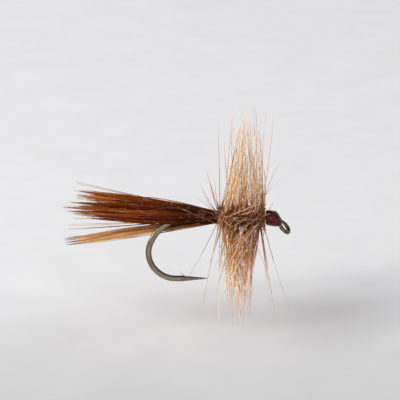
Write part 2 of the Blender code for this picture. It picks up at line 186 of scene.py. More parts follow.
CLUMP_LEAN_SCATTER = 0.5 * MM
CLUMP_CLING = 0.85  # of the way to its clump's middle that a barb's tip may lie
CLUMP_CLING_SHAPE = (4.0, 1.0)  # beta distribution: most lie nearly that far
FOCUS_X = 6.95 * MM  # where barbs lean to, beyond the rim both above and below the shank
UPPER_FOCUS_REACH = 18.0 * MM
LOWER_FOCUS_REACH = 12.5 * MM
NEAR_LEAN = -0.9 * MM
NEAR_LEAN_SCATTER = 1.0 * MM
NEAR_TILT = 3.0 * MM
NEAR_STRAIGHTENING = 0.7  # of their bow that barbs on the near side lose
REAR_MARGIN = 0.8 * MM  # the rearmost tips are this far in front of the tie, or less
LEANING_SHARE = 0.06  # barbs that lean any way, past the tie too
LEANING_SCATTER = 1.1 * MM
LOWER_SHADED_TOP_SHARE = 0.26  # barbs below the shank stay dark for longer, as painted shade on the hackle's lower side

# Barbs that stand clear: degrees round from straight up towards the near side, of the root
# and of the tip, then the root's place along the shank, the lean towards the eye and the
# reach, all in millimetres
STRAY_BARBS = (
    (-8, -8, 4.4, -0.2, 9.7),
    (-14, -14, 4.9, 0.7, 9.9),
    (-18, -18, 6.3, 0.6, 11.2),
    (-12, -12, 8.0, 0.0, 10.6),
    (-20, -20, 8.6, 0.3, 10.6),
    (-10, -10, 8.5, 1.3, 10.7),
    (165, 165, 4.4, -0.1, 11.2),
    (158, 158, 4.8, 0.7, 10.4),
    (160, 160, 8.4, 1.1, 10.0),
    (152, 152, 8.5, 1.6, 10.8),
    (148, 148, 8.8, 2.6, 9.3),
    (150, 150, 4.3, -1.7, 10.4),
    (105, 105, 4.2, -2.5, 10.8),
    (54, 54, 4.3, -1.4, 10.6),
    (60, 60, 4.4, -1.9, 9.4),
    (40, 40, 4.2, -0.9, 9.0),
    (118, 60, 4.2, -3.8, 5.0),
    (20, 20, 4.3, -0.9, 4.8),
    (30, 30, 4.2, -0.7, 4.2),
    (8, 8, 4.4, -0.5, 3.4),
    (45, 45, 4.2, -1.3, 4.6),
    (62, 62, 4.2, -1.6, 4.4),
    (15, 15, 4.3, -0.3, 5.4),
)
STRAY_SEED = 33
STRAY_BOW = 0.1 * MM
STRAY_SIZE = 0.75
STRAY_TOP_SHARE = 0.17

# Web: the soft short fibres at the base of a feather
WEB_FIBRES = 260
WEB_PLACE_SHAPE = (0.7, 1.0)  # beta distribution: more of them at the rear
WEB_STEPS = 7
WEB_TAPER = ((0, 0.028 * MM), (0.6, 0.024 * MM), (1, 0.006 * MM))
WEB_LENGTHS = (0.7 * MM, 2.4 * MM)
WEB_SLANT = math.radians(40)  # across the shank, and by how much this varies
WEB_SLANT_SCATTER = math.radians(25)
WEB_RISES = (0.05, 0.45)  # of its length that a fibre's tip stands off
WEB_ROOT_RADIUS = 0.9 * MM
WEB_TOP_SHARE = 0.1  # the web and the quill take the colour of the barbs' roots
RISE_CURVE = 1.5  # web and fuzz lie flat at their roots and stand up at their tips

# Thorax fuzz
FUZZ_SEED = 8
FUZZ_COUNT = 900
FUZZ_STEPS = 6
FUZZ_SIDES = 3
FUZZ_TAPER = ((0, 0.016 * MM), (0.6, 0.016 * MM), (1, 0.0064 * MM))
FUZZ_LENGTHS = (0.5 * MM, 1.6 * MM)
FUZZ_SLANT_SCATTER = 0.8
FUZZ_TURN_SCATTER = 0.7
FUZZ_RISE = 0.35  # of its length that the tip of the most upright fibre stands off
FUZZ_LOOP = 0.06 * MM  # how far the middle of a fibre stands off
FUZZ_ROOT_RADIUS = 0.76 * MM

# Head
EYE_WIRE_RADIUS = 0.16 * MM
EYE_WIRE_TAPER = 0.8
EYE_WIRE_SIDES = 10
EYE_WIRE_END = (  # from the far side of the eye's loop up to the top of the head, in millimetres
    (10.65, 0.58, 10.65),
    (10.5, 0.49, 10.8),
    (10.33, 0.43, 11.1),
    (10.18, 0.38, 11.4),
    (10.05, 0.34, 11.62),
    (9.92, 0.3, 11.78),
    (9.78, 0.26, 11.85),
)
THREAD_RADIUS = 0.05 * MM
THREAD_SIDES = 6
WINDINGS = (  # close turns, and open ones over them. Ends are shares of the head's length
    Winding(start=0.05 * MM, end_share=0.95, pitch=0.1 * MM, sink=0.03 * MM, phase=0.0),
    Winding(start=0.1 * MM, end_share=0.85, pitch=0.24 * MM, sink=0.028 * MM, phase=2.0),
)
WINDING_STEPS_PER_TURN = 36
OUTSIDE_HEAD = 3 * MM  # a distance from the head's middle that is clear of it
VARNISH_THICKNESS = 0.035 * MM
HEAD_SIDES = 40
HEAD_FRONT_X = 10.4 * MM
HEAD_DROP = 0.2 * MM  # how much lower the middle of the head is at its front
HEAD_CORNER = (9.72 * MM, 11.92 * MM)  # where its top meets the cut front
HEAD_CUT = math.radians(28)  # the tilt of that front, up from facing the eye
HEAD_PROFILE = (  # share of its length, and of its full radius
    (0.0, 0.4),
    (0.0, 0.86),
    (0.08, 0.94),
    (0.18, 0.99),
    (0.35, 1.0),
    (0.5, 1.0),
    (0.65, 0.99),
    (0.8, 0.96),
    (0.92, 0.9),
    (0.98, 0.8),
    (1.0, 0.66),
    (1.0, 0.3),
)

# Camera: near side of the fly, a little above and towards the eye, through a long lens
VIEW_AZIMUTH = math.radians(3)
VIEW_ELEVATION = math.radians(18)
VIEW_ROLL = math.radians(-0.65)
VIEW_DISTANCE = 240 * MM
VIEW_WIDTH = 39.76 * MM
VIEW_CENTRE = Vector((2.43, 0.0, 13.14)) * MM
SENSOR_WIDTH = 36
NEAREST_SHARE = 1 / 20  # of the camera's distance, at which it starts to see

# Studio
FLOOR_HALF_SIDE = 3.0
FLOOR_SHADE_SPAN = (-0.026, 0.012)  # across which the floor turns from grey to white along Y, painted shade on the near side
SKY_DIRECTION = (-0.3, -0.85, 0.3)
HORIZON_COLOUR = (0.82, 0.82, 0.83, 1)
HORIZON_BAND = (0.1, 0.25)  # the rise at which it starts to fade, and ends
WORLD_STRENGTH = 0.88
LIGHTS = (  # place, width and height, power in watts
    ("softbox", (-1.0, -0.45, 0.75), (1.0, 1.0), 13.0),
    ("rim_light", (-0.5, 0.25, 0.45), (0.3, 0.3), 0.5),
    ("strip_light", (-0.47, -0.24, 0.14), (0.04, 0.22), 1.7),
)


# ---------------------------------------------------------------- shader nodes


def add_node(tree, kind, settings=None, inputs=None):
    """A shader node. An input is a number, a tuple or another node's output."""
    made = tree.nodes.new("ShaderNode" + kind)
    for name, value in (settings or {}).items():
        setattr(made, name, value)
    for key, value in (inputs or {}).items():
        if isinstance(value, bpy.types.NodeSocket):
            tree.links.new(value, made.inputs[key])
        else:
            made.inputs[key].default_value = value
    return made


def add_ramp(tree, factor, stops):
    """A colour ramp through (place, colour) stops, in order of place."""
    made = add_node(tree, "ValToRGB", inputs={"Fac": factor})
    elements = made.color_ramp.elements
    while len(elements) > 1:
        elements.remove(elements[-1])
    elements[0].position = stops[0][0]
    elements[0].color = (*stops[0][1], 1)
    for place, colour in stops[1:]:
        elements.new(place).color = (*colour, 1)
    return made.outputs["Color"]


def add_math(tree, operation, first, second=0.0, third=0.0):
    return add_node(
        tree, "Math", {"operation": operation}, {0: first, 1: second, 2: third}
    ).outputs["Value"]


def add_slope(tree, value, span, low=0.0, high=1.0, shape="LINEAR"):
    """Goes from low to high as the value crosses the span, and is level outside it."""
    start, end = span
    return add_node(
        tree,
        "MapRange",
        {"interpolation_type": shape},
        {"Value": value, "From Min": start, "From Max": end, "To Min": low, "To Max": high},
    ).outputs["Result"]


def add_range(tree, value, low, high):
    """Takes 0 to 1 to low to high."""
    return add_slope(tree, value, (0.0, 1.0), low, high)


def add_noise(tree, vector, scale, detail=2.0, roughness=0.5):
    made = add_node(
        tree,
        "TexNoise",
        inputs={"Vector": vector, "Scale": scale, "Detail": detail, "Roughness": roughness},
    )
    return made.outputs["Fac"]


def add_mix(tree, factor, first, second):
    """Goes from the first colour to the second. Sockets 0, 6 and 7 are the factor and colours."""
    return add_node(tree, "Mix", {"data_type": "RGBA"}, {0: factor, 6: first, 7: second}).outputs[2]


def adjust_colour(tree, colour, value, hue=0.5, saturation=1.0):
    return add_node(
        tree,
        "HueSaturation",
        inputs={"Hue": hue, "Saturation": saturation, "Value": value, "Color": colour},
    ).outputs["Color"]


def add_bump(tree, height, strength, distance):
    return add_node(
        tree, "Bump", inputs={"Strength": strength, "Distance": distance, "Height": height}
    ).outputs["Normal"]


def object_position(tree):
    return add_node(tree, "TexCoord").outputs["Object"]


def new_material(name):
    material = bpy.data.materials.new(name)
    material.use_nodes = True
    tree = material.node_tree
    return material, tree, tree.nodes["Principled BSDF"]


def connect_shader(tree, shader, colour, roughness, specular=0.5, normal=None):
    tree.links.new(colour, shader.inputs["Base Color"])
    tree.links.new(roughness, shader.inputs["Roughness"])
    shader.inputs["Specular IOR Level"].default_value = specular
    if normal:
        tree.links.new(normal, shader.inputs["Normal"])


# ---------------------------------------------------------------- fibre materials


def lane_draw(tree, lane, draw):
    """A random number of its own for each lane. Each draw gives another one."""
    place = add_math(tree, "ADD", lane, float(draw * LANES))
    return add_node(tree, "TexWhiteNoise", {"noise_dimensions": "1D"}, {"W": place}).outputs[
        "Value"
    ]


def lane_noise(tree, share, lane, scale):
    """Noise that runs along a fibre and differs from lane to lane."""
    lane_step = 3.7  # far enough apart in the noise for lanes to be unlike
    place = add_node(
        tree,
        "CombineXYZ",
        inputs={
            "X": add_math(tree, "MULTIPLY", share, scale),
            "Y": add_math(tree, "MULTIPLY", lane, lane_step),
            "Z": scale,
        },
    ).outputs["Vector"]
    return add_noise(tree, place, scale=1.0, detail=2.0, roughness=0.6)


def fibre_material(name, ramps, tone_spread, roughness, specular, painted_glint=None):
    """Fibres shaded from root to tip. Each one wanders between the two ramps.

    tone_spread is how much lighter or darker than its neighbours a fibre may be. The last
    argument is the (colour, strength, fineness) of painted highlights: pale flecks along a
    fibre that stand in for glints of light.
    """
    material, tree, shader = new_material(name)
    uv = add_node(tree, "UVMap", {"uv_map": FIBRE_MAP}).outputs["UV"]
    split = add_node(tree, "SeparateXYZ", inputs={"Vector": uv})
    share = split.outputs["X"]
    lane = add_math(tree, "FLOOR", add_math(tree, "MULTIPLY", split.outputs["Y"], LANES))
    mix_draw = lane_draw(tree, lane, 0)
    tone_draw = lane_draw(tree, lane, 1)
    bands = lane_noise(tree, share, lane, scale=9.0)
    flecks = lane_noise(tree, share, lane, scale=34.0)

    first, second = (add_ramp(tree, share, stops) for stops in ramps)
    wander = add_math(tree, "ADD", mix_draw, add_range(tree, bands, -0.8, 0.8))
    wander = add_node(tree, "Clamp", inputs={"Value": wander}).outputs["Result"]
    colour = add_mix(tree, wander, first, second)
    tone = add_range(tree, tone_draw, 1 - tone_spread, 1 + tone_spread)
    colour = adjust_colour(
        tree,
        colour,
        value=add_math(tree, "MULTIPLY", tone, add_range(tree, flecks, 0.75, 1.25)),
        hue=add_range(tree, mix_draw, 0.492, 0.508),
        saturation=add_range(tree, tone_draw, 1.08, 0.92),
    )
    if painted_glint:
        # Painted highlights: pale flecks in the base colour stand in for glints of light on the
        # fibre.
        painted_glint_colour, strength, fineness = painted_glint
        painted_glint_noise = lane_noise(tree, share, lane, fineness)
        painted_glint_amount = add_slope(tree, painted_glint_noise, (0.58, 0.7), 0.0, strength)
        colour = add_mix(tree, painted_glint_amount, colour, (*painted_glint_colour, 1))
    connect_shader(tree, shader, colour, add_range(tree, flecks, *roughness), specular)
    return material


def brown_hair_material():
    return fibre_material(
        "brown_wing_hair",
        ramps=(
            (
                (0.0, (0.018, 0.005, 0.002)),
                (0.35, (0.034, 0.005, 0.001)),
                (0.65, (0.11, 0.014, 0.0015)),
                (0.85, (0.17, 0.03, 0.003)),
                (0.93, (0.2, 0.06, 0.014)),
                (1.0, (0.07, 0.026, 0.014)),
            ),
            (
                (0.0, (0.05, 0.018, 0.008)),
                (0.35, (0.13, 0.026, 0.005)),
                (0.65, (0.42, 0.095, 0.012)),
                (0.85, (0.56, 0.155, 0.024)),
                (0.93, (0.6, 0.21, 0.05)),
                (1.0, (0.26, 0.12, 0.06)),
            ),
        ),
        tone_spread=0.3,
        roughness=(0.25, 0.45),
        specular=0.05,
        # Painted highlights: pale dashes along the hair stand in for glints of light.
        painted_glint=((0.6, 0.42, 0.36), 0.45, 13.0),
    )


def tan_hair_material():
    return fibre_material(
        "tan_wing_hair",
        ramps=(
            (
                (0.0, (0.05, 0.014, 0.005)),
                (0.3, (0.1, 0.026, 0.007)),
                (0.5, (0.28, 0.09, 0.028)),
                (0.9, (0.42, 0.19, 0.06)),
                (1.0, (0.09, 0.05, 0.05)),
            ),
            (
                (0.0, (0.2, 0.07, 0.025)),
                (0.3, (0.42, 0.16, 0.055)),
                (0.5, (0.78, 0.44, 0.19)),
                (0.9, (0.88, 0.56, 0.28)),
                (1.0, (0.4, 0.25, 0.16)),
            ),
        ),
        tone_spread=0.2,
        roughness=(0.25, 0.45),
        specular=0.1,
    )


def ginger_barb_material():
    return fibre_material(
        "ginger_barbs",
        ramps=(
            (
                (0.0, (0.16, 0.032, 0.006)),
                (0.1, (0.42, 0.13, 0.016)),
                (0.22, (0.48, 0.16, 0.016)),
                (1.0, (0.36, 0.12, 0.02)),
            ),
            (
                (0.0, (0.36, 0.12, 0.03)),
                (0.1, (0.7, 0.32, 0.095)),
                (0.22, (1.0, 0.82, 0.5)),
                (1.0, (1.0, 0.74, 0.48)),
            ),
        ),
        tone_spread=0.42,
        roughness=(0.15, 0.35),
        specular=0.35,
        # Painted highlights: near-white flecks along the barbs stand in for glints of light.
        painted_glint=((1.0, 0.95, 0.86), 0.95, 20.0),
    )


def cream_barb_material():
    return fibre_material(
        "cream_barbs",
        ramps=(
            (
                (0.0, (0.17, 0.022, 0.01)),
                (0.1, (0.44, 0.14, 0.024)),
                (0.22, (0.55, 0.2, 0.024)),
                (1.0, (0.42, 0.16, 0.03)),
            ),
            (
                (0.0, (0.36, 0.1, 0.04)),
                (0.1, (0.74, 0.35, 0.12)),
                (0.22, (1.0, 0.84, 0.56)),
                (1.0, (1.0, 0.78, 0.55)),
            ),
        ),
        tone_spread=0.42,
        roughness=(0.15, 0.35),
        specular=0.35,
        # Painted highlights: near-white flecks along the barbs stand in for glints of light.
        painted_glint=((1.0, 0.97, 0.9), 0.95, 20.0),
    )


def thorax_fur_material():
    return fibre_material(
        "thorax_fur",
        ramps=(
            ((0.0, (0.05, 0.012, 0.003)), (1.0, (0.16, 0.042, 0.01))),
            ((0.0, (0.16, 0.05, 0.015)), (1.0, (0.45, 0.18, 0.06))),
        ),
        tone_spread=0.3,
        roughness=(0.5, 0.8),
        specular=0.1,
    )


# ---------------------------------------------------------------- other materials


def steel_material():
    """Bronzed wire with forged flats. Its rounded edges are painted much darker than the flats, as
    painted shade standing in for the dark reflections along them.
    """
    material, tree, shader = new_material("bronzed_hook_steel")
    place = object_position(tree)
    patches = add_noise(tree, place, scale=900.0, detail=4.0, roughness=0.6)
    grain = add_noise(tree, place, scale=9000.0, detail=3.0, roughness=0.6)
    flat_bronze = add_ramp(
        tree,
        patches,
        (
            (0.3, (0.22, 0.17, 0.11)),
            (0.5, (0.33, 0.265, 0.185)),
            (0.72, (0.45, 0.375, 0.29)),
        ),
    )
    # Painted shade: the rounded edges are much darker than the flats, standing in for dark
    # reflections along them.
    painted_edge_shade = (0.13, 0.095, 0.06, 1)
    normal = add_node(tree, "TexCoord").outputs["Normal"]
    sideways = add_node(tree, "SeparateXYZ", inputs={"Vector": normal}).outputs["Y"]
    flat = add_slope(tree, add_math(tree, "ABSOLUTE", sideways), (0.92, 1.0), shape="SMOOTHSTEP")
    colour = add_mix(tree, flat, painted_edge_shade, flat_bronze)
    colour = adjust_colour(tree, colour, value=add_range(tree, grain, 0.82, 1.18))
    rough = add_math(
        tree, "ADD", add_range(tree, patches, 0.08, 0.2), add_range(tree, grain, -0.03, 0.04)
    )
    bump = add_bump(tree, grain, strength=0.25, distance=0.01 * MM)
    connect_shader(tree, shader, colour, rough, normal=bump)
    shader.inputs["Metallic"].default_value = 1.0
    return material


def thread_material(name, dark, light, roughness):
    """Twisted tying thread: fine fibres across each turn, and wax in the hollows."""
    material, tree, shader = new_material(name)
    place = object_position(tree)
    fibres = add_noise(tree, place, scale=14000.0, detail=2.0, roughness=0.6)
    wax = add_noise(tree, place, scale=1800.0, detail=3.0, roughness=0.5)
    blend = add_math(tree, "ADD", add_math(tree, "MULTIPLY", fibres, 0.45), wax)
    colour = add_ramp(tree, blend, ((0.5, dark), (0.95, light)))
    rough = add_range(tree, wax, *roughness)
    bump = add_bump(tree, fibres, strength=0.4, distance=0.012 * MM)
    connect_shader(tree, shader, colour, rough, specular=0.2, normal=bump)
    return material


def claret_thread_material():
    return thread_material(
        "claret_thread",
        dark=(0.02, 0.002, 0.002),
        light=(0.24, 0.002, 0.006),
        roughness=(0.3, 0.55),
    )


def waxed_thread_material():
    return thread_material(
        "waxed_thread",
        dark=(0.012, 0.003, 0.002),
        light=(0.09, 0.016, 0.01),
        roughness=(0.4, 0.65),
    )


def varnish_material():
    """Clear head varnish: sees through face on, shines at its edges and where it beads."""
    material, tree, shader = new_material("clear_head_varnish")
    output = next(node for node in tree.nodes if node.type == "OUTPUT_MATERIAL")
    tree.nodes.remove(shader)
    place = object_position(tree)
    ripple = add_noise(tree, place, scale=1500.0, detail=1.0, roughness=0.4)
    bump = add_bump(tree, ripple, strength=0.5, distance=0.04 * MM)
    clear = add_node(tree, "BsdfTransparent", inputs={"Color": (0.98, 0.93, 0.92, 1)})
    shine = add_node(
        tree,
        "BsdfGlossy",
        inputs={"Normal": bump, "Roughness": add_range(tree, ripple, 0.05, 0.14)},
    )
    facing = add_node(tree, "LayerWeight", inputs={"Blend": 0.5}).outputs["Facing"]
    edge = add_math(tree, "POWER", facing, 4.0)
    beading = add_noise(tree, place, scale=4200.0, detail=2.0, roughness=0.5)
    beads = add_slope(tree, beading, (0.63, 0.7), 0.0, 0.65)
    amount = add_math(tree, "ADD", add_range(tree, edge, 0.012, 0.16), beads)
    both = add_node(
        tree,
        "MixShader",
        inputs={0: amount, 1: clear.outputs["BSDF"], 2: shine.outputs["BSDF"]},
    )
    tree.links.new(both.outputs["Shader"], output.inputs["Surface"])
    return material


def dubbing_material():
    """Twisted underfur: brown, with paler hairs through it. It is darker in random clumps, and
    darker where its bump sinks, as painted shade in the hollows.
    """
    material, tree, shader = new_material("dubbed_fur")
    place = object_position(tree)
    squeezed = add_node(
        tree, "Mapping", inputs={"Vector": place, "Scale": (2.5, 1.0, 1.0)}
    ).outputs["Vector"]
    clumps = add_noise(tree, place, scale=2600.0, detail=4.0, roughness=0.65)
    strands = add_noise(tree, squeezed, scale=7000.0, detail=3.0, roughness=0.7)
    # Darker where the clump noise is low, a tone of the fur, and where the strand noise sinks the
    # bump, painted shade in the hollows.
    blend = add_math(tree, "MULTIPLY", add_math(tree, "ADD", clumps, strands), 0.5)
    colour = add_ramp(
        tree,
        blend,
        ((0.36, (0.03, 0.013, 0.006)), (0.5, (0.11, 0.045, 0.02)), (0.66, (0.3, 0.15, 0.07))),
    )
    rough = add_range(tree, strands, 0.75, 1.0)
    bump = add_bump(tree, strands, strength=0.8, distance=0.05 * MM)
    connect_shader(tree, shader, colour, rough, specular=0.2, normal=bump)
    return material


def floor_material():
    """Matt white sheet with a faint mottle. It is painted greyer on the near side as painted shade,
    and has lighter and darker patches of painted light and shade.
    """
    material, tree, shader = new_material("studio_floor")
    place = object_position(tree)
    mottle = add_noise(tree, place, scale=60.0, detail=3.0, roughness=0.5)
    depth = add_node(tree, "SeparateXYZ", inputs={"Vector": place}).outputs["Y"]
    depth = add_math(tree, "ADD", depth, add_range(tree, mottle, -0.01, 0.01))
    # Painted shade: the floor turns greyer towards the near side.
    colour = add_ramp(
        tree,
        add_slope(tree, depth, FLOOR_SHADE_SPAN),
        (
            (0.0, (0.6, 0.595, 0.595)),
            (0.6, (0.7, 0.695, 0.7)),
            (1.0, (0.81, 0.805, 0.81)),
        ),
    )
    # Painted light and shade: lighter and darker patches, like the light on creases that the flat
    # floor does not have.
    painted_patch_noise = add_noise(tree, place, scale=140.0, detail=5.0, roughness=0.6)
    colour = adjust_colour(tree, colour, value=add_range(tree, painted_patch_noise, 0.94, 1.06))
    rough = add_range(tree, mottle, 0.65, 0.8)
    connect_shader(tree, shader, colour, rough, specular=0.05)
    return material


# ---------------------------------------------------------------- geometry


def link_piece(piece, material, slot, *nodes):
    """Puts a piece in the scene, riding with the fly and standing for its CAD nodes."""
    bpy.context.scene.collection.objects.link(piece)
    piece.data.materials.clear()
    piece.data.materials.append(material)
    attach(piece, "root")
    if nodes:
        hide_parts(*nodes)


def unit(vectors):
    shortest = 1e-12
    return vectors / np.maximum(np.linalg.norm(vectors, axis=-1, keepdims=True), shortest)


def profile(points, stops):
    """Values at that many points from root to tip, from (share of the way, value) stops."""
    shares, values = zip(*stops)
    return np.interp(np.linspace(0, 1, points), shares, values)


def own_lanes(group, rng):
    """Lanes shared by most fibres of a group, so that clumps and wisps keep a tone."""
    shared = rng.integers(0, LANES, group.max() + 1)[group]
    count = len(group)
    return np.where(rng.uniform(0, 1, count) < SHARED_LANE, shared, rng.integers(0, LANES, count))


def fibre_rings(paths, radii, sides):
    """Points around each point of each path: (fibres, points, sides, 3)."""
    turns = TAU * (np.arange(sides) + 0.5) / sides
    tangents = unit(np.gradient(paths, axis=1))
    chord = unit(paths[:, -1] - paths[:, 0])
    least = np.abs(chord).argmin(axis=1)
    reference = np.eye(3)[least][:, None, :]
    side = unit(np.cross(reference, tangents))
    up = np.cross(tangents, side)
    around = side[:, :, None] * np.cos(turns)[:, None] + up[:, :, None] * np.sin(turns)[:, None]
    return paths[:, :, None] + around * radii[:, :, None, None]


def side_uvs(bundle, sides):
    """UVs of a bundle's side faces, in the order of their corners."""
    count, points = bundle.radii.shape
    share = np.linspace(0, bundle.top_share, points)
    low = (bundle.lanes + 0.5 - LANE_FILL / 2) / LANES
    high = (bundle.lanes + 0.5 + LANE_FILL / 2) / LANES
    shape = (count, points - 1, sides)
    near = np.broadcast_to(share[:-1][None, :, None], shape)
    far = np.broadcast_to(share[1:][None, :, None], shape)
    bottom = np.broadcast_to(low[:, None, None], shape)
    top = np.broadcast_to(high[:, None, None], shape)
    corners = [
        np.stack(corner, axis=-1)
        for corner in ((near, bottom), (near, top), (far, top), (far, bottom))
    ]
    return np.stack(corners, axis=-2).reshape(-1, 2)


def cap_uvs(bundle, sides, share, inset):
    """UVs of the caps on one end of a bundle's fibres."""
    turns = TAU * (np.arange(sides) + 0.5) / sides
    middle = (bundle.lanes + 0.5) / LANES
    ring = np.empty((len(middle), sides, 2))
    ring[:, :, 0] = share + inset * (1 + np.cos(turns))
    ring[:, :, 1] = middle[:, None] + np.sin(turns) * CAP_FILL / LANES
    return ring.reshape(-1, 2)


def fibre_mesh(name, bundles, sides):
    """An object of closed tubes, from bundles of fibres."""
    vertices, faces, uvs = [], [], []
    start = 0
    for bundle in bundles:
        rings = fibre_rings(bundle.paths, bundle.radii, sides)
        vertices.append(rings.reshape(-1, 3))
        ids = start + np.arange(rings[..., 0].size).reshape(rings.shape[:3])
        start += ids.size
        after = np.roll(ids, -1, axis=2)
        quads = np.stack([ids[:, :-1], after[:, :-1], after[:, 1:], ids[:, 1:]], axis=-1)
        faces.extend(quads.reshape(-1, 4).tolist())
        faces.extend(ids[:, 0, ::-1].tolist())
        faces.extend(ids[:, -1].tolist())
        uvs.append(side_uvs(bundle, sides))
        uvs.append(cap_uvs(bundle, sides, 0.0, CAP_INSET))
        uvs.append(cap_uvs(bundle, sides, bundle.top_share, -CAP_INSET))
    mesh = bpy.data.meshes.new(name)
    mesh.from_pydata(np.concatenate(vertices).tolist(), [], faces)
    layer = mesh.uv_layers.new(name=FIBRE_MAP)
    layer.data.foreach_set("uv", np.concatenate(uvs).ravel().astype(np.float32))
    mesh.shade_smooth()
    mesh.update()
    return bpy.data.objects.new(name, mesh)


def smooth_copy(name, node):
    """A finer copy of a CAD node: welded and subdivided, so that no flat facets show."""
    work = bmesh.new()
    work.from_mesh(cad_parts[node].data)
    bmesh.ops.remove_doubles(work, verts=work.verts, dist=WELD_DISTANCE)
    bmesh.ops.join_triangles(
        work,
        faces=work.faces,
        angle_face_threshold=JOIN_ANGLE,
        angle_shape_threshold=JOIN_SHAPE_ANGLE,
    )
    mesh = bpy.data.meshes.new(name)
    work.to_mesh(mesh)
    work.free()
    mesh.shade_smooth()
    copy = bpy.data.objects.new(name, mesh)
    modifier = copy.modifiers.new("smooth", "SUBSURF")
    modifier.levels = modifier.render_levels = SMOOTH_LEVELS
    return copy


def cad_points(node):
    return np.array([vertex.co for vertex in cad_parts[node].data.vertices])


# ---------------------------------------------------------------- wing


def tuft_axis(node):
    """Where a CAD tuft leaves its binding, and the middle of its tips."""
    points = cad_points(node)
    waist = points[np.abs(points[:, 0] - TIE_X) < TUFT_WAIST].mean(axis=0)
    tips = points[points[:, 0] < points[:, 0].min() + TUFT_TIP_DEPTH].mean(axis=0)
    tips[0] = points[:, 0].min()
    return waist, tips


def across_axis(angle, distance):
    """Points across the shank, (count, 3), at angles and distances from its axis."""
    return np.stack([np.zeros(len(angle)), distance * np.cos(angle), distance * np.sin(angle)], 1)


def tuft_hairs(node, kind, rng):
    """One tuft's hairs, following the CAD tuft from its binding.

    The hairs end in a few pointed wisps of different lengths, with some strays between.
    """
    waist, tip = tuft_axis(node)
    shortest, longest = kind.lengths
    count = kind.count
    angle = rng.uniform(0, TAU, count)
    disc = across_axis(angle, np.sqrt(rng.uniform(0, 1, count)))

    wisp_reach = longest - (1.0 - shortest) * np.linspace(0, WISP_STAGGER, kind.wisps)
    wisp_angle = TAU * (np.arange(kind.wisps) + rng.uniform(0, 1)) / kind.wisps
    wisp_place = across_axis(wisp_angle, rng.uniform(*WISP_PLACES, kind.wisps))
    # A hair belongs to the wisp on its own side of the tuft
    own = np.argmin(np.linalg.norm(disc[:, None] - wisp_place[None], axis=-1), axis=1)
    stray = rng.uniform(0, 1, count) < STRAY_HAIR_SHARE
    lag = rng.beta(*HAIR_LAG_SHAPE, count)
    most_lag = np.where(stray, STRAY_HAIR_LAG, HAIR_LAG)
    reach = wisp_reach[own] - (1.0 - shortest) * most_lag * lag
    # A wisp narrows to its point, so that its shorter hairs stand further off its middle
    width = np.where(stray, STRAY_HAIR_WIDTH, WISP_POINT + WISP_FLARE * lag)[:, None]
    end_place = wisp_place[own] * WISP_SPLAY + (disc - wisp_place[own]) * width

    inner = rng.uniform(0, 1, count) < kind.inner_share
    beside, above = kind.heart
    heart = np.array([tip[0], beside, AXIS_HEIGHT + above])
    pull = rng.uniform(*kind.pull, count)
    shift = np.where(inner[:, None], (heart - tip) * pull[:, None], 0.0)
    bow = rng.normal(0, HAIR_BOW, (count, 3)) * np.where(stray, STRAY_HAIR_BOW, 1.0)[:, None]
    bow[:, 0] = 0
    ripple = rng.normal(0, HAIR_BOW / 4, (count, 3))

    spread = kind.spread
    root_spread = min(TUFT_ROOT_SPREAD, TUFT_ROOT_SHARE * spread)
    spreading = profile(
        HAIR_STEPS, ((0, root_spread), (0.2, spread * 0.55), (0.62, spread), (1, 0))
    )
    closing = profile(HAIR_STEPS, HAIR_CLOSING) * spread
    drawing = profile(HAIR_STEPS, HAIR_DRAWING)
    along = np.linspace(0, 1, HAIR_STEPS)
    paths = waist + (tip - waist) * reach[:, None, None] * along[:, None]
    for offset, growth in (
        (disc, spreading),
        (end_place, closing),
        (shift, drawing),
        (bow, np.sin(np.pi * along)),
        (ripple, np.sin(3 * np.pi * along)),
    ):
        paths = paths + offset[:, None] * growth[:, None]

    bound = paths[:, :1].copy()
    bound[:, :, 0] = LASHING_FRONT_X
    paths = np.concatenate([bound, paths], axis=1)
    radii = profile(HAIR_STEPS + 1, HAIR_TAPER) * rng.uniform(*HAIR_SIZES, count)[:, None]
    return Bundle(paths, radii, own_lanes(own, rng), 1.0)


def make_wing(brown, tan):
    rng = np.random.default_rng(WING_SEED)
    for node in sorted(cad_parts):
        if not node.startswith("wing_tuft_"):
            continue
        name = node.replace("wing_tuft", "hair_of_tuft")
        if node in TAN_TUFTS:
            hairs = fibre_mesh(name, [tuft_hairs(node, TAN_HAIR, rng)], HAIR_SIDES)
            link_piece(hairs, tan, "tan_hair", node)
        else:
            hairs = fibre_mesh(name, [tuft_hairs(node, BROWN_HAIR, rng)], HAIR_SIDES)
            link_piece(hairs, brown, "brown_hair", node)


def make_loose_hairs(material):
    """The loose hairs keep the line of their CAD solids, fine and round."""
    rng = np.random.default_rng(LOOSE_HAIR_SEED)
    along = np.linspace(0, 1, HAIR_STEPS)
    count = LOOSE_HAIRS_PER_NODE
    for node in sorted(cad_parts):
        if not node.startswith("wing_hair_"):
            continue
        points = cad_points(node)
        root = points[points[:, 0] > points[:, 0].max() - LOOSE_HAIR_END].mean(axis=0)
        tip = points[points[:, 0] < points[:, 0].min() + LOOSE_HAIR_END].mean(axis=0)
        ends = tip + rng.normal(0, LOOSE_HAIR_SPREAD, (count, 3))
        ends[0] = tip
        paths = root + (ends - root)[:, None] * along[None, :, None]
        paths[:, :, 2] -= LOOSE_HAIR_SAG * np.sin(np.pi * along)
        radii = np.tile(profile(HAIR_STEPS, LOOSE_HAIR_TAPER), (count, 1))
        hairs = Bundle(paths, radii, rng.integers(0, LANES, count), 1.0)
        name = node.replace("wing_hair", "fine_hair")
        link_piece(fibre_mesh(name, [hairs], HAIR_SIDES), material, "tan_hair", node)


# ---------------------------------------------------------------- hackle


def coil_point(turn, x, radius):
    """A point around the shank: a turn of 0 is straight up, and a quarter is the far side."""
    return np.stack([x, radius * np.sin(turn), AXIS_HEIGHT + radius * np.cos(turn)], axis=-1)


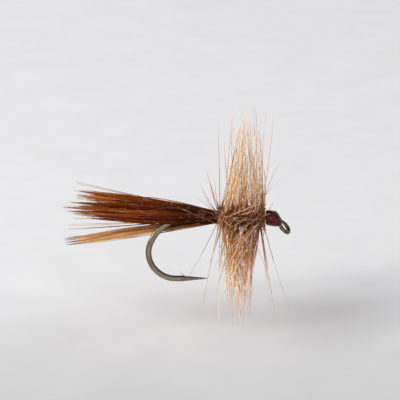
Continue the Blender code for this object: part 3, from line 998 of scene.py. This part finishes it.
def quill_line(feather, place):
    """The turn and the place along the shank, at shares of the way along the wound quill."""
    start, end = feather.quill
    return feather.first_turn + TAU * QUILL_TURNS * place, start + (end - start) * place


def barb_bundle(roots, tips, bow, size, lanes, top_share):
    """Barbs from their roots to their tips, each slightly bowed along the shank."""
    along = np.linspace(0, 1, BARB_STEPS)
    paths = roots[:, None] + (tips - roots)[:, None] * along[:, None]
    paths[:, :, 0] += bow[:, None] * np.sin(np.pi * along)
    return Bundle(paths, profile(BARB_STEPS, BARB_TAPER) * size[:, None], lanes, top_share)


def feather_barbs(feather, rng):
    """Two bundles of barbs, above and below the shank, from all along the wound quill.

    Neighbours cling together towards their tips, and all lean to a point beyond the
    hackle's rim. On the near side the upper ones also lean to the eye, and the lower ones
    to the bend.
    """
    count = BARBS_PER_FEATHER
    turn, x = quill_line(feather, (np.arange(count) + rng.uniform(0, 1, count)) / count)
    below = np.cos(turn) < 0
    near = np.clip(-np.sin(turn), 0, 1) ** 2

    clump = (turn * CLUMPS_PER_TURN / TAU).astype(int)
    clump_turn = rng.normal(CLUMP_TURN, CLUMP_TURN_SCATTER, clump.max() + 1)[clump]
    clump_lean = rng.normal(0, CLUMP_LEAN_SCATTER, clump.max() + 1)[clump]
    middle_turn = (clump + 0.5) * TAU / CLUMPS_PER_TURN
    cling = rng.beta(*CLUMP_CLING_SHAPE, count) * CLUMP_CLING

    shortening = BARB_SHORTENING * rng.beta(*BARB_SHORTENING_SHAPE, count)
    reach = HACKLE_RADIUS * (1.0 - shortening)
    focus_reach = np.where(below, LOWER_FOCUS_REACH, UPPER_FOCUS_REACH)
    converging = (FOCUS_X - x) * reach / focus_reach
    lean = converging + clump_lean + rng.normal(0, BARB_SCATTER, count)
    near_lean = rng.normal(NEAR_LEAN, NEAR_LEAN_SCATTER, count)
    lean += near * (near_lean + NEAR_TILT * np.cos(turn))
    rearmost = TIE_X + rng.uniform(0, REAR_MARGIN, count)
    lean = np.maximum(lean, rearmost - x)
    leaning = rng.uniform(0, 1, count) < LEANING_SHARE
    lean = np.where(leaning, rng.normal(0, LEANING_SCATTER, count), lean)
    tip_turn = turn + (middle_turn - turn) * cling + clump_turn
    tip_turn = tip_turn + rng.normal(0, BARB_TURN_SCATTER, count)

    bow = rng.normal(0, BARB_BOW, count) * (1 - NEAR_STRAIGHTENING * near)
    size = rng.uniform(*BARB_SIZES, count)
    lanes = own_lanes(clump, rng)
    roots = coil_point(turn, x, COIL_RADIUS * BARB_ROOT)
    tips = coil_point(tip_turn, x + lean, reach)
    # The lower bundle stays dark for longer along its barbs: painted shade on the hackle's lower
    # side.
    return [
        barb_bundle(roots[half], tips[half], bow[half], size[half], lanes[half], top_share)
        for half, top_share in ((~below, 1.0), (below, LOWER_SHADED_TOP_SHARE))
    ]


def stray_barbs():
    """The barbs that stand clear of the rest."""
    rng = np.random.default_rng(STRAY_SEED)
    around, tip_around, x, lean, reach = (np.array(column) for column in zip(*STRAY_BARBS))
    count = len(x)
    roots = coil_point(-np.radians(around), x * MM, COIL_RADIUS * BARB_ROOT)
    tips = coil_point(-np.radians(tip_around), (x + lean) * MM, reach * MM)
    bow = rng.normal(0, STRAY_BOW, count)
    lanes = rng.integers(0, LANES, count)
    return barb_bundle(roots, tips, bow, np.full(count, STRAY_SIZE), lanes, STRAY_TOP_SHARE)


def quill_bundle(feather):
    points = QUILL_STEPS_PER_TURN * QUILL_TURNS
    path = coil_point(*quill_line(feather, np.linspace(0, 1, points)), COIL_RADIUS)
    radii = profile(points, ((0, QUILL_RADIUS), (1, QUILL_RADIUS * QUILL_END)))
    return Bundle(path[None], radii[None], np.array([QUILL_LANE]), WEB_TOP_SHARE)


def web_bundle(feather, rng):
    """The web lies across the thorax, wound the same way as the quill but much steeper."""
    count = WEB_FIBRES
    start, end = feather.web
    along = np.linspace(0, 1, WEB_STEPS)
    turn = rng.uniform(0, TAU, count)
    x = start + (end - start) * rng.beta(*WEB_PLACE_SHAPE, count)
    length = rng.uniform(*WEB_LENGTHS, count)
    slant = rng.normal(WEB_SLANT, WEB_SLANT_SCATTER, count)
    way = np.where(rng.uniform(start, end, count) > x, 1, -1)
    room = np.where(way > 0, end - x, x - start)
    rise = rng.uniform(*WEB_RISES, count)
    travel = way * np.minimum(length * np.cos(slant), room)
    winding = way * length * np.sin(slant) / COIL_RADIUS
    paths = coil_point(
        turn[:, None] + winding[:, None] * along,
        x[:, None] + travel[:, None] * along,
        WEB_ROOT_RADIUS + (length * rise)[:, None] * along**RISE_CURVE,
    )
    radii = np.tile(profile(WEB_STEPS, WEB_TAPER), (count, 1))
    return Bundle(paths, radii, rng.integers(0, LANES, count), WEB_TOP_SHARE)


def make_hackle(materials):
    for feather, material in zip(FEATHERS, materials):
        rng = np.random.default_rng(feather.seed)
        bundles = [quill_bundle(feather), *feather_barbs(feather, rng), web_bundle(feather, rng)]
        if feather.has_strays:
            bundles.append(stray_barbs())
        name = feather.node.replace("hackle_feather", "wound_feather")
        piece = fibre_mesh(name, bundles, FEATHER_SIDES)
        link_piece(piece, material, feather.slot, feather.node)


# ---------------------------------------------------------------- thorax


def make_thorax(core_material, fuzz_material):
    core = smooth_copy("thorax_core", "dubbed_thorax")
    link_piece(core, core_material, "dubbing", "dubbed_thorax")
    fuzz = fibre_mesh("thorax_fuzz", [fuzz_bundle()], FUZZ_SIDES)
    link_piece(fuzz, fuzz_material, "dubbing")


def fuzz_bundle():
    """Short fur all over the thorax, lying nearly flat."""
    rng = np.random.default_rng(FUZZ_SEED)
    low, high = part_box("dubbed_thorax")
    count = FUZZ_COUNT
    along = np.linspace(0, 1, FUZZ_STEPS)
    x = rng.uniform(low.x, high.x, count)
    turn = rng.uniform(0, TAU, count)
    length = rng.uniform(*FUZZ_LENGTHS, count)
    slant = rng.normal(0, FUZZ_SLANT_SCATTER, count)
    winding = rng.normal(0, FUZZ_TURN_SCATTER, count)
    rise = rng.uniform(0.0, FUZZ_RISE, count)
    across = x[:, None] + (length * np.sin(slant))[:, None] * along
    standing = (length * rise)[:, None] * along**RISE_CURVE + FUZZ_LOOP * np.sin(np.pi * along)
    paths = coil_point(
        turn[:, None] + winding[:, None] * along,
        np.clip(across, low.x, high.x),
        FUZZ_ROOT_RADIUS + standing,
    )
    radii = np.tile(profile(FUZZ_STEPS, FUZZ_TAPER), (count, 1))
    return Bundle(paths, radii, rng.integers(0, LANES, count), 1.0)


# ---------------------------------------------------------------- head


def head_centre(travel):
    """The middle of the head at a distance from its back."""
    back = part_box("head_thread")[0].x
    share = travel / (HEAD_FRONT_X - back)
    return Vector((back + travel, 0, AXIS_HEIGHT - HEAD_DROP * share))


def round_the_head(turn):
    """The direction across the head, at a turn from straight up."""
    return Vector((0, math.sin(turn), math.cos(turn)))


def head_body(name, thickness):
    """A block of thread with its front cut off along the eye, built up below the neck."""
    low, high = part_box("head_thread")
    radius = high.z - AXIS_HEIGHT + thickness
    length = HEAD_FRONT_X - low.x
    corner_x, corner_z = HEAD_CORNER
    corner = Vector((corner_x + thickness, 0, corner_z + thickness))
    cut = Vector((math.cos(HEAD_CUT), 0, math.sin(HEAD_CUT)))
    shape = bmesh.new()
    rings = []
    for travel_share, swell in HEAD_PROFILE:
        centre = head_centre(length * travel_share)
        ring = []
        for k in range(HEAD_SIDES):
            point = centre + round_the_head(TAU * k / HEAD_SIDES) * radius * swell
            beyond = (point - corner).dot(cut)
            ring.append(shape.verts.new(point - cut * max(0.0, beyond)))
        rings.append(ring)
    for first, second in zip(rings, rings[1:]):
        for k in range(HEAD_SIDES):
            after = (k + 1) % HEAD_SIDES
            shape.faces.new((first[k], second[k], second[after], first[after]))
    shape.faces.new(rings[0])
    shape.faces.new(rings[-1][::-1])
    bmesh.ops.recalc_face_normals(shape, faces=shape.faces)
    mesh = bpy.data.meshes.new(name)
    shape.to_mesh(mesh)
    shape.free()
    mesh.shade_smooth()
    return bpy.data.objects.new(name, mesh)


def wound_thread(skin, winding):
    """A thread wound over the head: each point is where a ray to its middle meets the skin."""
    end = (HEAD_FRONT_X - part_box("head_thread")[0].x) * winding.end_share
    turns = (end - winding.start) / winding.pitch
    steps = int(turns * WINDING_STEPS_PER_TURN)
    points = []
    for k in range(steps + 1):
        share = k / steps
        centre = head_centre(winding.start + (end - winding.start) * share)
        # The thread starts on the far side and goes up from there
        outward = round_the_head(TAU / 4 - winding.phase - TAU * turns * share)
        hit = skin.ray_cast(centre + outward * OUTSIDE_HEAD, -outward)[0]
        if hit is not None:
            points.append(hit - outward * winding.sink)
    radii = np.full((1, len(points)), THREAD_RADIUS)
    return Bundle(np.array(points)[None], radii, np.array([0]), 1.0)


def make_head(thread, varnish):
    body = head_body("head_core", 0.0)
    link_piece(body, thread, "tying_thread", "head_thread")
    skin = BVHTree.FromPolygons(
        [vertex.co.copy() for vertex in body.data.vertices],
        [list(face.vertices) for face in body.data.polygons],
    )
    layers = [wound_thread(skin, winding) for winding in WINDINGS]
    link_piece(fibre_mesh("head_windings", layers, THREAD_SIDES), thread, "tying_thread")
    coat = head_body("head_coat", VARNISH_THICKNESS)
    link_piece(coat, varnish, "varnish", "head_varnish")


# ---------------------------------------------------------------- hook and hidden threads


def make_hook(material):
    """The hook, and the end of its eye's wire, which comes up the cut front of the head."""
    link_piece(smooth_copy("hook_wire", "hook"), material, "hook_steel", "hook")
    path = np.array(EYE_WIRE_END) * MM
    radii = profile(len(path), ((0, EYE_WIRE_RADIUS), (1, EYE_WIRE_RADIUS * EYE_WIRE_TAPER)))
    wire = Bundle(path[None], radii[None], np.array([0]), 1.0)
    link_piece(fibre_mesh("eye_wire_end", [wire], EYE_WIRE_SIDES), material, "hook_steel")


def dress_threads(material):
    for node in ("thread_underwrap", "wing_lashing_thread"):
        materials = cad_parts[node].data.materials
        materials.clear()
        materials.append(material)


# ---------------------------------------------------------------- studio


def make_floor():
    half = FLOOR_HALF_SIDE
    mesh = bpy.data.meshes.new("studio_floor")
    mesh.from_pydata(
        [(-half, -half, 0), (half, -half, 0), (half, half, 0), (-half, half, 0)],
        [],
        [(0, 1, 2, 3)],
    )
    mesh.materials.append(floor_material())
    floor = bpy.data.objects.new("studio_floor", mesh)
    bpy.context.scene.collection.objects.link(floor)


def make_lights():
    """Rectangular lights, which all face the middle of the fly."""
    target = Vector((0, 0, AXIS_HEIGHT))
    for name, place, size, power in LIGHTS:
        data = bpy.data.lights.new(name, "AREA")
        data.shape = "RECTANGLE"
        data.size, data.size_y = size
        data.energy = power
        light = bpy.data.objects.new(name, data)
        light.location = place
        light.rotation_euler = (target - Vector(place)).to_track_quat("-Z", "Y").to_euler()
        bpy.context.scene.collection.objects.link(light)


def make_world():
    """A pale room in front of the fly and low down all round, dim overhead and behind."""
    world = bpy.data.worlds.new("studio")
    world.use_nodes = True
    tree = world.node_tree
    direction = add_node(tree, "TexCoord").outputs["Generated"]
    facing = add_node(
        tree,
        "VectorMath",
        {"operation": "DOT_PRODUCT"},
        {0: direction, 1: Vector(SKY_DIRECTION).normalized()},
    ).outputs["Value"]
    sky = add_ramp(
        tree,
        add_math(tree, "MULTIPLY_ADD", facing, 0.5, 0.5),
        (
            (0.0, (0.1, 0.1, 0.11)),
            (0.5, (0.2, 0.2, 0.21)),
            (0.75, (0.8, 0.8, 0.82)),
            (1.0, (1.0, 1.0, 1.0)),
        ),
    )
    rise = add_node(tree, "SeparateXYZ", inputs={"Vector": direction}).outputs["Z"]
    low_down = add_slope(tree, add_math(tree, "ABSOLUTE", rise), HORIZON_BAND, 1.0, 0.0)
    sky = add_mix(tree, low_down, sky, HORIZON_COLOUR)
    background = tree.nodes["Background"]
    tree.links.new(sky, background.inputs["Color"])
    background.inputs["Strength"].default_value = WORLD_STRENGTH
    bpy.context.scene.world = world


def make_camera():
    back = Vector(
        (
            math.sin(VIEW_AZIMUTH) * math.cos(VIEW_ELEVATION),
            -math.cos(VIEW_AZIMUTH) * math.cos(VIEW_ELEVATION),
            math.sin(VIEW_ELEVATION),
        )
    )
    data = bpy.data.cameras.new("camera")
    data.sensor_width = SENSOR_WIDTH
    data.lens = SENSOR_WIDTH * VIEW_DISTANCE / VIEW_WIDTH
    data.clip_start = VIEW_DISTANCE * NEAREST_SHARE
    camera = bpy.data.objects.new("camera", data)
    camera.location = VIEW_CENTRE + back * VIEW_DISTANCE
    level = (-back).to_track_quat("-Z", "Y").to_matrix()
    camera.rotation_euler = (level @ Matrix.Rotation(VIEW_ROLL, 3, "Z")).to_euler()
    bpy.context.scene.collection.objects.link(camera)
    bpy.context.scene.camera = camera


def main():
    bpy.context.scene.view_settings.view_transform = "Standard"
    make_camera()
    make_floor()
    make_world()
    make_lights()

    brown = brown_hair_material()
    make_hook(steel_material())
    dress_threads(waxed_thread_material())
    make_wing(brown, tan_hair_material())
    make_loose_hairs(brown)
    make_thorax(dubbing_material(), thorax_fur_material())
    make_hackle((ginger_barb_material(), cream_barb_material()))
    make_head(claret_thread_material(), varnish_material())


main()
